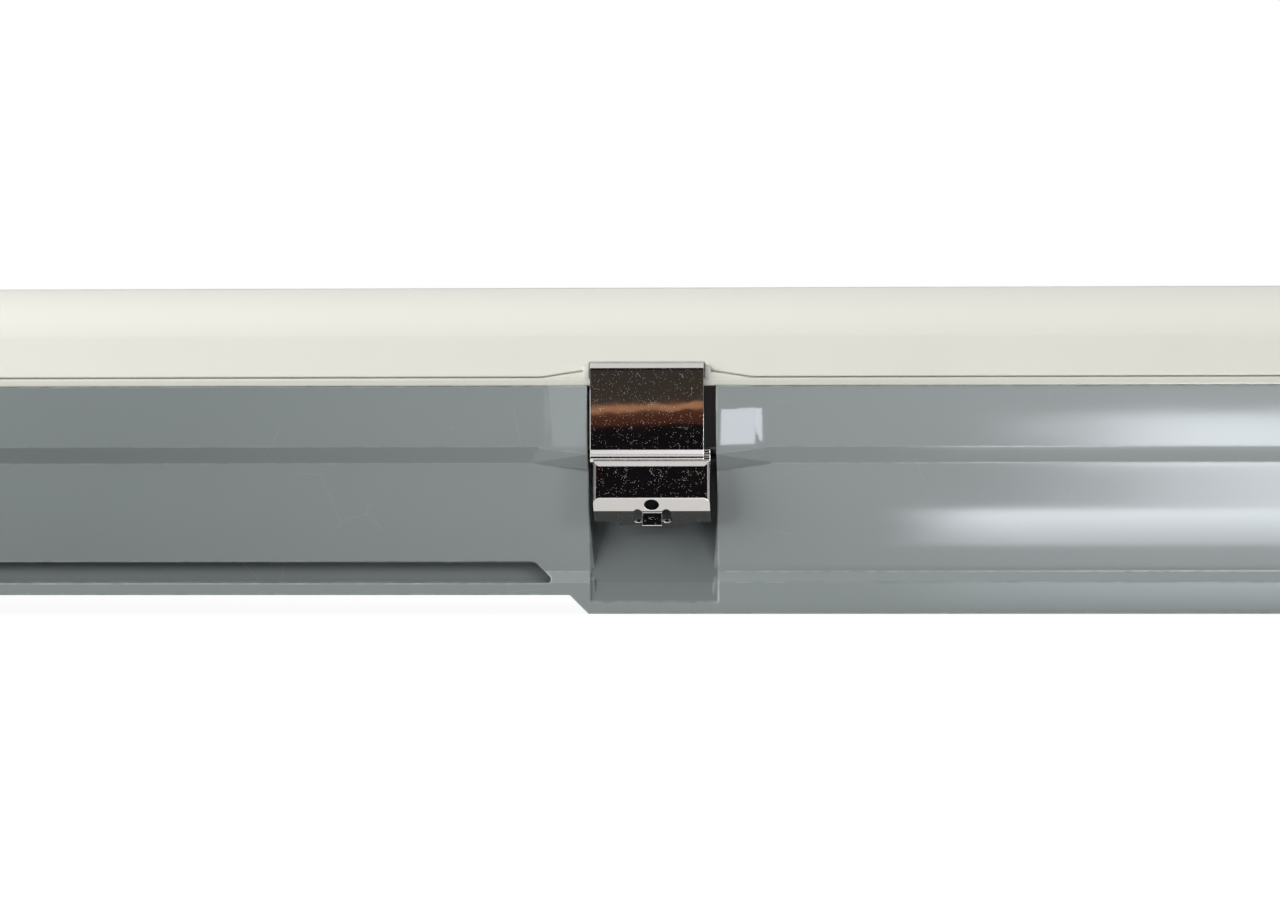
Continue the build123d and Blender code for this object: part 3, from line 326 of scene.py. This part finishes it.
# Each finish by its slot: the material's name, two close colours and, on the plain ones, roughness
finish = {
    # Dense mid grey and glossy, matt on its plinth, paler along edges (partly wear, partly a painted
    # highlight), with painted shade in its pockets and nooks
    "housing_grey": moulded_polycarbonate("grey_polycarbonate", "#8B9292", "#858C8C", "#BEC4C5", rough=0.12,
                                          edge_wear_and_highlight=0.85, lint_share=0.3, matt_below=8.5 * MM,
                                          painted_shade="#2E3030"),
    # Milky cream-white with a satin skin, and a slightly darker lip
    "opal_diffuser": moulded_polycarbonate("opal_polycarbonate", "#E6E6DD", "#E2E2D8", "#ECECE4", rough=0.34,
                                           edge_wear_and_highlight=0.4, lint_share=0.25, lip="#D8D8CC"),
    # A bright, faintly warm mirror with lint on it
    "stainless": rolled_stainless("rolled_stainless_steel", "#D2CECB", "#C4C0BD", rough=0.03),
    # Near black and matt, with cells that show as a coarse grain
    "gasket_foam": plain_finish("foamed_polyurethane", "#2B2B2A", "#232322", 0.85, grain=0.6, depth=0.15,
                                worn="#3A3A39"),
    # Dark metal with a dull shine
    "pin_steel": plain_finish("blackened_steel", "#2A2A2B", "#1E1E1F", 0.4, metallic=1.0, worn="#4A4A4B"),
    # White and half glossy, with a fine orange peel
    "white_steel": plain_finish("white_powder_coat", "#EEEEEC", "#E6E6E3", 0.45, grain=0.9),
    # Deep yellow and smooth
    "phosphor": plain_finish("phosphor_silicone", "#F0D65A", "#E8C840", 0.4, worn="#F6E48C"),
    # Pale metal with a soft shine
    "rivet_alloy": plain_finish("plain_aluminium", "#C9CACC", "#B7B8BA", 0.35, metallic=1.0),
    # Off-white and half matt
    "driver_case": plain_finish("moulded_abs_white", "#E8E8E4", "#DEDED9", 0.5),
    # Cool bright metal
    "screw_steel": plain_finish("zinc_plated_steel", "#C2C4C8", "#AEB0B6", 0.3, metallic=1.0),
    # Ivory and half matt
    "terminal_nylon": plain_finish("moulded_nylon_natural", "#E3E2D9", "#D8D7CC", 0.5),
    # Yellow metal, paler along its pressed edges
    "tag_brass": plain_finish("pressed_brass", "#C9AE62", "#B4974A", 0.3, metallic=1.0, worn="#E0CB8C"),
    # Smooth skins with a soft gloss, each of one colour, but the earth wire in patches of green and yellow
    "wire_brown": plain_finish("pvc_insulation_brown", "#5B3620", "#4E2D1A", 0.45, worn="#6B4630"),
    "wire_blue": plain_finish("pvc_insulation_blue", "#1F4FA8", "#1A4490", 0.45, worn="#3A68BC"),
    "wire_green": plain_finish("pvc_insulation_green", "#3F8C2B", "#C7C234", 0.45, worn="#6CAF4A"),
    "wire_red": plain_finish("pvc_insulation_red", "#A81B17", "#931713", 0.45, worn="#BF403C"),
    "wire_black": plain_finish("pvc_insulation_black", "#161616", "#101010", 0.45, worn="#2A2A2A"),
    # Black and matt, with a fine grain
    "seal_rubber": plain_finish("moulded_rubber", "#1B1B1B", "#141414", 0.7, grain=0.8, depth=0.06,
                                worn="#2C2C2C"),
    # Darker grey than the housing, and half matt
    "gland_nylon": plain_finish("moulded_nylon_grey", "#6E7476", "#666C6E", 0.42, worn="#8D9294"),
    # Bright white with a low gloss
    "board_white": plain_finish("white_solder_mask", "#F0F0EC", "#E7E7E2", 0.35),
    # Greyish white and half matt
    "button_nylon": plain_finish("moulded_nylon_white", "#DFDFDA", "#D5D5CF", 0.5),
}
slots = {part["node"]: part["material_slot"] for part in frame["record"]["subparts"]}
for name, piece in nodes.items():
    piece.data.materials.clear()
    piece.data.materials.append(finish[slots[name]])


def background_rays(tree):
    """1 for a ray that shows the background: seen straight on, mirrored, or through clear matter."""
    ray = add(tree, "ShaderNodeLightPath").outputs
    seen = add(tree, "ShaderNodeMath", links={0: ray["Is Camera Ray"], 1: ray["Is Glossy Ray"]},
               operation="MAXIMUM")
    return add(tree, "ShaderNodeMath", links={0: seen.outputs[0], 1: ray["Is Transmission Ray"]},
               operation="MAXIMUM").outputs[0]


# Stage: a pale floor in a white room. Most of the floor's look is white, and the rest keeps the shadow
FLOOR_REACH = 14.0
FLOOR_GAP = 0.2 * MM
WHITE_SHARE = 0.82
WHITE_LEVEL = 1.16
floor_mesh = bpy.data.meshes.new("floor")
floor_mesh.from_pydata([(-FLOOR_REACH, -FLOOR_REACH, 0), (FLOOR_REACH, -FLOOR_REACH, 0),
                        (FLOOR_REACH, FLOOR_REACH, 0), (-FLOOR_REACH, FLOOR_REACH, 0)], [],
                       [(0, 1, 2, 3)])
floor = bpy.data.objects.new("floor", floor_mesh)
floor_z = cad_box[0][2] - FLOOR_GAP
floor.location.z = floor_z
scene.collection.objects.link(floor)
pale, tree, shader, _ = start("pale_floor")
shader.inputs["Base Color"].default_value = linear("#A0A0A0")
shader.inputs["Roughness"].default_value = 0.8
share = add(tree, "ShaderNodeMath", {1: WHITE_SHARE}, {0: background_rays(tree)}, operation="MULTIPLY")
glow = add(tree, "ShaderNodeEmission", {"Strength": WHITE_LEVEL})
mix = add(tree, "ShaderNodeMixShader",
          links={0: share.outputs[0], 1: shader.outputs["BSDF"], 2: glow.outputs[0]})
tree.links.new(mix.outputs[0], tree.nodes["Material Output"].inputs["Surface"])
floor_mesh.materials.append(pale)

# The room gives a weak even light, and shows as white
ROOM_LIGHT = 0.16
ROOM_WHITE = 1.0
world = bpy.data.worlds.new("white_room")
world.use_nodes = True
scene.world = world
tree = world.node_tree
tree.nodes.clear()
soft = add(tree, "ShaderNodeBackground", {"Color": (1, 1, 1, 1), "Strength": ROOM_LIGHT})
clear = add(tree, "ShaderNodeBackground", {"Color": (1, 1, 1, 1), "Strength": ROOM_WHITE})
both = add(tree, "ShaderNodeMixShader",
           links={0: background_rays(tree), 1: soft.outputs[0], 2: clear.outputs[0]})
add(tree, "ShaderNodeOutputWorld", links={"Surface": both.outputs[0]})


def soft_box(name, where, aim, size, power):
    """Soft lamp: a lit rectangle turned to its aim."""
    lamp = bpy.data.lights.new(name, "AREA")
    lamp.shape = "RECTANGLE"
    lamp.size, lamp.size_y = size
    lamp.energy = power
    made = bpy.data.objects.new(name, lamp)
    made.location = where
    made.rotation_euler = (Vector(aim) - Vector(where)).to_track_quat("-Z", "Y").to_euler()
    made.visible_camera = False
    made.visible_glossy = False
    scene.collection.objects.link(made)


soft_box("left_light", where=(-1.5, -0.9, 0.65), aim=(-0.1, 0, 0.04), size=(1.4, 1.1), power=34.5)
soft_box("right_light", where=(0.55, -0.8, 0.4), aim=(0.0, 0, 0.04), size=(0.3, 0.3), power=2.6)
soft_box("top_light", where=(0.2, -0.1, 1.9), aim=(0, 0, 0.05), size=(2.4, 1.6), power=3.0)
soft_box("back_light", where=(1.3, 1.5, 1.0), aim=(0.1, 0, 0.04), size=(1.2, 0.9), power=14.0)


def card(name, paint, corners):
    """Flat card that only reflections see, so that gloss and bright metal have something to mirror."""
    mesh = bpy.data.meshes.new(name)
    mesh.from_pydata(corners, [], [(0, 1, 2, 3)])
    made = bpy.data.objects.new(name, mesh)
    scene.collection.objects.link(made)
    mesh.materials.append(paint)
    made.visible_camera = False
    made.visible_diffuse = False
    made.visible_shadow = False
    made.visible_transmission = False


def card_paint(name, code, strength):
    """Card of one even colour, lit of itself."""
    made, _, shader, _ = start(name)
    shader.inputs["Base Color"].default_value = linear("#000000")
    shader.inputs["Specular IOR Level"].default_value = 0.0
    shader.inputs["Emission Color"].default_value = linear(code)
    shader.inputs["Emission Strength"].default_value = strength
    return made


# Size of the blots in a lit strip's front, and how far it wanders along the strip
BLOT = 30 * MM
WANDER = 24 * MM


def strip_paint(name, code, strength, begin, full, inner, outer, inner_share):
    """Lit strip that comes up out of nothing along its length, with a blotchy front, and is dimmer at its
    inner edge."""
    made, tree, _, place = start(name)
    split = add(tree, "ShaderNodeSeparateXYZ", links={"Vector": place})
    blots = add(tree, "ShaderNodeTexNoise", {"Scale": 1 / BLOT, "Detail": 2.0}, {"Vector": place})
    along = add(tree, "ShaderNodeMath", {1: WANDER}, {0: blots.outputs["Fac"], 2: split.outputs["X"]},
                operation="MULTIPLY_ADD")
    fade = add(tree, "ShaderNodeMapRange", {"From Min": begin + WANDER / 2, "From Max": full + WANDER / 2},
               {"Value": along.outputs[0]}, interpolation_type="SMOOTHSTEP")
    empty = add(tree, "ShaderNodeBsdfTransparent")
    out = add(tree, "ShaderNodeMath", links={0: split.outputs["Y"]}, operation="ABSOLUTE")
    level = add(tree, "ShaderNodeMapRange", {"From Min": inner, "From Max": outer,
                                             "To Min": strength * inner_share, "To Max": strength},
                {"Value": out.outputs[0]})
    glow = add(tree, "ShaderNodeEmission", {"Color": linear(code)}, {"Strength": level.outputs["Result"]})
    mix = add(tree, "ShaderNodeMixShader",
              links={0: fade.outputs["Result"], 1: empty.outputs[0], 2: glow.outputs[0]})
    tree.links.new(mix.outputs[0], tree.nodes["Material Output"].inputs["Surface"])
    return made


# Glow of the table top at its dark and its pale end
TABLE_DARK = 0.02
TABLE_PALE = 2.7


def table_paint(name, code, dark, pale):
    """Table top that goes from dark to pale along its length."""
    made, tree, _, place = start(name)
    along = add(tree, "ShaderNodeSeparateXYZ", links={"Vector": place}).outputs["X"]
    level = add(tree, "ShaderNodeMapRange", {"From Min": dark, "From Max": pale, "To Min": TABLE_DARK,
                                             "To Max": TABLE_PALE}, {"Value": along})
    glow = add(tree, "ShaderNodeEmission", {"Color": linear(code)}, {"Strength": level.outputs["Result"]})
    tree.links.new(glow.outputs[0], tree.nodes["Material Output"].inputs["Surface"])
    return made


black = card_paint("black_card", "#171517", 1.0)
table = table_paint("table_top", "#F0F2F4", dark=-320 * MM, pale=-20 * MM)
dusk = card_paint("grey_table_top", "#8A8C8E", 1.0)
smoke = card_paint("smoke_brown_card", "#443E38", 1.0)
copper = card_paint("copper_brown_card", "#C48E6C", 1.0)
umber = card_paint("red_brown_card", "#553226", 1.0)

# A table top lies along each long side. It goes from dark to pale and is grey past the pale end, and bright
# strips lie on it. A dark wall stands beyond, with a brown rail on it that slopes a little
FACE = 62 * MM
TABLE_EDGE = 5 * MM
TABLE_LIFT = 0.4 * MM
LENGTH = 1.6
PALE_END = 80 * MM
STRIP_START = -200 * MM
STRIP_END = 45 * MM
WALL = 300 * MM
WALL_TOP = 240 * MM
RAIL_SLOPE = 0.04
RAIL_MIDDLE = -177 * MM
RAIL_STANDS_OUT = 1 * MM
# Name, paint, lower and upper edge in mm
RAIL = (("smoke", smoke, 57.8, 90.0), ("copper", copper, 55.8, 57.8), ("umber", umber, 51.4, 55.8))
# Name, inner and outer edge from the fixture's face in mm, strength, where it begins and where it is full
# along the length in mm, and the share of its strength at the inner edge
STRIPS = (
    ("near", 16.5, 45.0, 14.5, -106.0, -60.0, 0.42),
    ("middle", 45.0, 88.0, 9.5, -76.0, 20.0, 1.0),
    ("far", 88.0, 162.0, 12.5, -80.0, -2.0, 1.0),
)
shine = {}
for label, inner, outer, strength, begin, full, inner_share in STRIPS:
    shine[label] = strip_paint(label + "_window_strip", "#EAEEF4", strength, begin * MM, full * MM,
                               FACE + inner * MM, FACE + outer * MM, inner_share)
lie = floor_z + TABLE_LIFT
rise = lie + TABLE_LIFT
drop = RAIL_SLOPE * (-LENGTH - RAIL_MIDDLE)
climb = RAIL_SLOPE * (LENGTH - RAIL_MIDDLE)
for tag, out in (("front", -1), ("back", 1)):
    near = out * (FACE + TABLE_EDGE)
    far = out * (FACE + WALL)
    for label, paint, left, right in (("pale", table, -LENGTH, PALE_END), ("grey", dusk, PALE_END, LENGTH)):
        card(f"{tag}_{label}_table", paint,
             [(left, near, lie), (right, near, lie), (right, far, lie), (left, far, lie)])
    card(tag + "_wall", black,
         [(-LENGTH, far, 0), (LENGTH, far, 0), (LENGTH, far, WALL_TOP), (-LENGTH, far, WALL_TOP)])
    rail_y = far - out * RAIL_STANDS_OUT
    for label, paint, low, high in RAIL:
        card(f"{tag}_{label}_rail", paint,
             [(-LENGTH, rail_y, low * MM + drop), (LENGTH, rail_y, low * MM + climb),
              (LENGTH, rail_y, high * MM + climb), (-LENGTH, rail_y, high * MM + drop)])
    for label, inner, outer, *rest in STRIPS:
        first = out * (FACE + inner * MM)
        last = out * (FACE + outer * MM)
        card(f"{tag}_{label}_strip", shine[label],
             [(STRIP_START, first, rise), (STRIP_END, first, rise), (STRIP_END, last, rise),
              (STRIP_START, last, rise)])

# Two small cards close to the housing beside one latch: a bright one on its right, a dim one on its left
CARD_Y = -65 * MM
white_paint = card_paint("white_card", "#EAEEF6", 9.5)
dim_paint = card_paint("dim_card", "#EEF2F2", 1.9)
for label, paint, left, right, low, high in (("right_wall", white_paint, -140.6, -131.1, 43.2, 53.0),
                                             ("left_wall", dim_paint, -188.8, -177.3, 42.6, 59.5)):
    card(label + "_card", paint, [(left * MM, CARD_Y, low * MM), (right * MM, CARD_Y, low * MM),
                                  (right * MM, CARD_Y, high * MM), (left * MM, CARD_Y, high * MM)])
